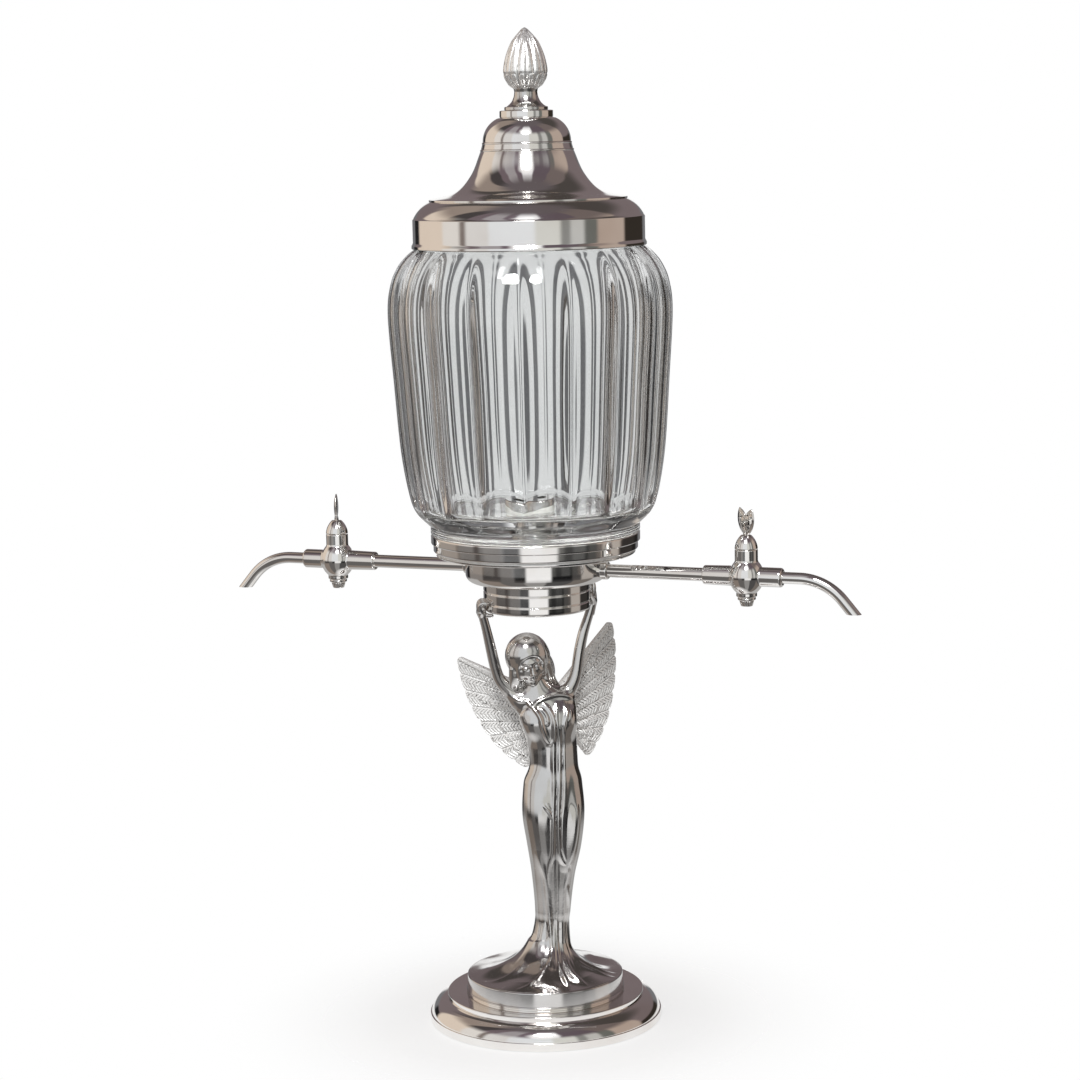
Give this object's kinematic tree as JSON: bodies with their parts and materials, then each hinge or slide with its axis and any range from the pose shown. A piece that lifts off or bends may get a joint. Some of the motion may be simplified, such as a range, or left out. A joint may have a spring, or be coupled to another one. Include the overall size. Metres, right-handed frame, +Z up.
{
  "type": "absinthe fountain",
  "caption": "Table drip fountain: a winged figure on a stepped round base holds up a fluted glass jar with a spun lid, and two plug taps on side arms let iced water out by drops.",
  "frame": {"origin": "middle of the base's underside, on the table", "axes": "+Z up, +X along the right tap arm, -Y towards the front"},
  "size_m": [0.3564, 0.1498, 0.53],
  "materials": {
    "silver_plate": "polished silver plate",
    "carved_plate": "silver plate, darker in the carving",
    "glass": "clear, fire polished",
    "hardware": "plain",
    "gasket": "pale silicone",
    "felt": "felt"
  },
  "bodies": {
    "stand": {"base_plinth": "silver_plate", "base_felt": "felt", "tie_stud": "hardware", "tie_washer": "hardware", "tie_nut": "hardware", "figure": "silver_plate", "left_wing": "carved_plate", "right_wing": "carved_plate", "support_cup": "silver_plate", "manifold": "silver_plate", "collar": "silver_plate", "jar_gasket": "gasket", "glass_jar": "glass", "drain_gasket": "gasket", "drain_bush": "silver_plate", "left_arm_ring": "silver_plate", "left_arm_tube": "silver_plate", "left_valve_body": "silver_plate", "left_spout": "silver_plate", "right_arm_ring": "silver_plate", "right_arm_tube": "silver_plate", "right_valve_body": "silver_plate", "right_spout": "silver_plate"},
    "lid": {"lid_rim": "silver_plate", "lid_seal": "gasket", "lid_bell": "silver_plate", "finial_disc": "silver_plate", "finial": "carved_plate", "finial_washer": "hardware", "finial_nut": "hardware"},
    "left_key": {"left_key_plug": "silver_plate", "left_key_handle": "silver_plate", "left_key_washer": "silver_plate", "left_key_nut": "silver_plate"},
    "right_key": {"right_key_plug": "silver_plate", "right_key_handle": "silver_plate", "right_key_washer": "silver_plate", "right_key_nut": "silver_plate"}
  },
  "joints": [
    {"name": "lid_lift", "type": "slide", "parent": "stand", "child": "lid", "axis": [0, 0, 1], "range_m": [0, 0.15]},
    {"name": "left_key_turn", "type": "hinge", "parent": "stand", "child": "left_key", "pos_m": [-0.117, 0, 0.247], "axis": [0, 0, 1], "continuous": true},
    {"name": "right_key_turn", "type": "hinge", "parent": "stand", "child": "right_key", "pos_m": [0.117, 0, 0.247], "axis": [0, 0, 1], "continuous": true}
  ]
}
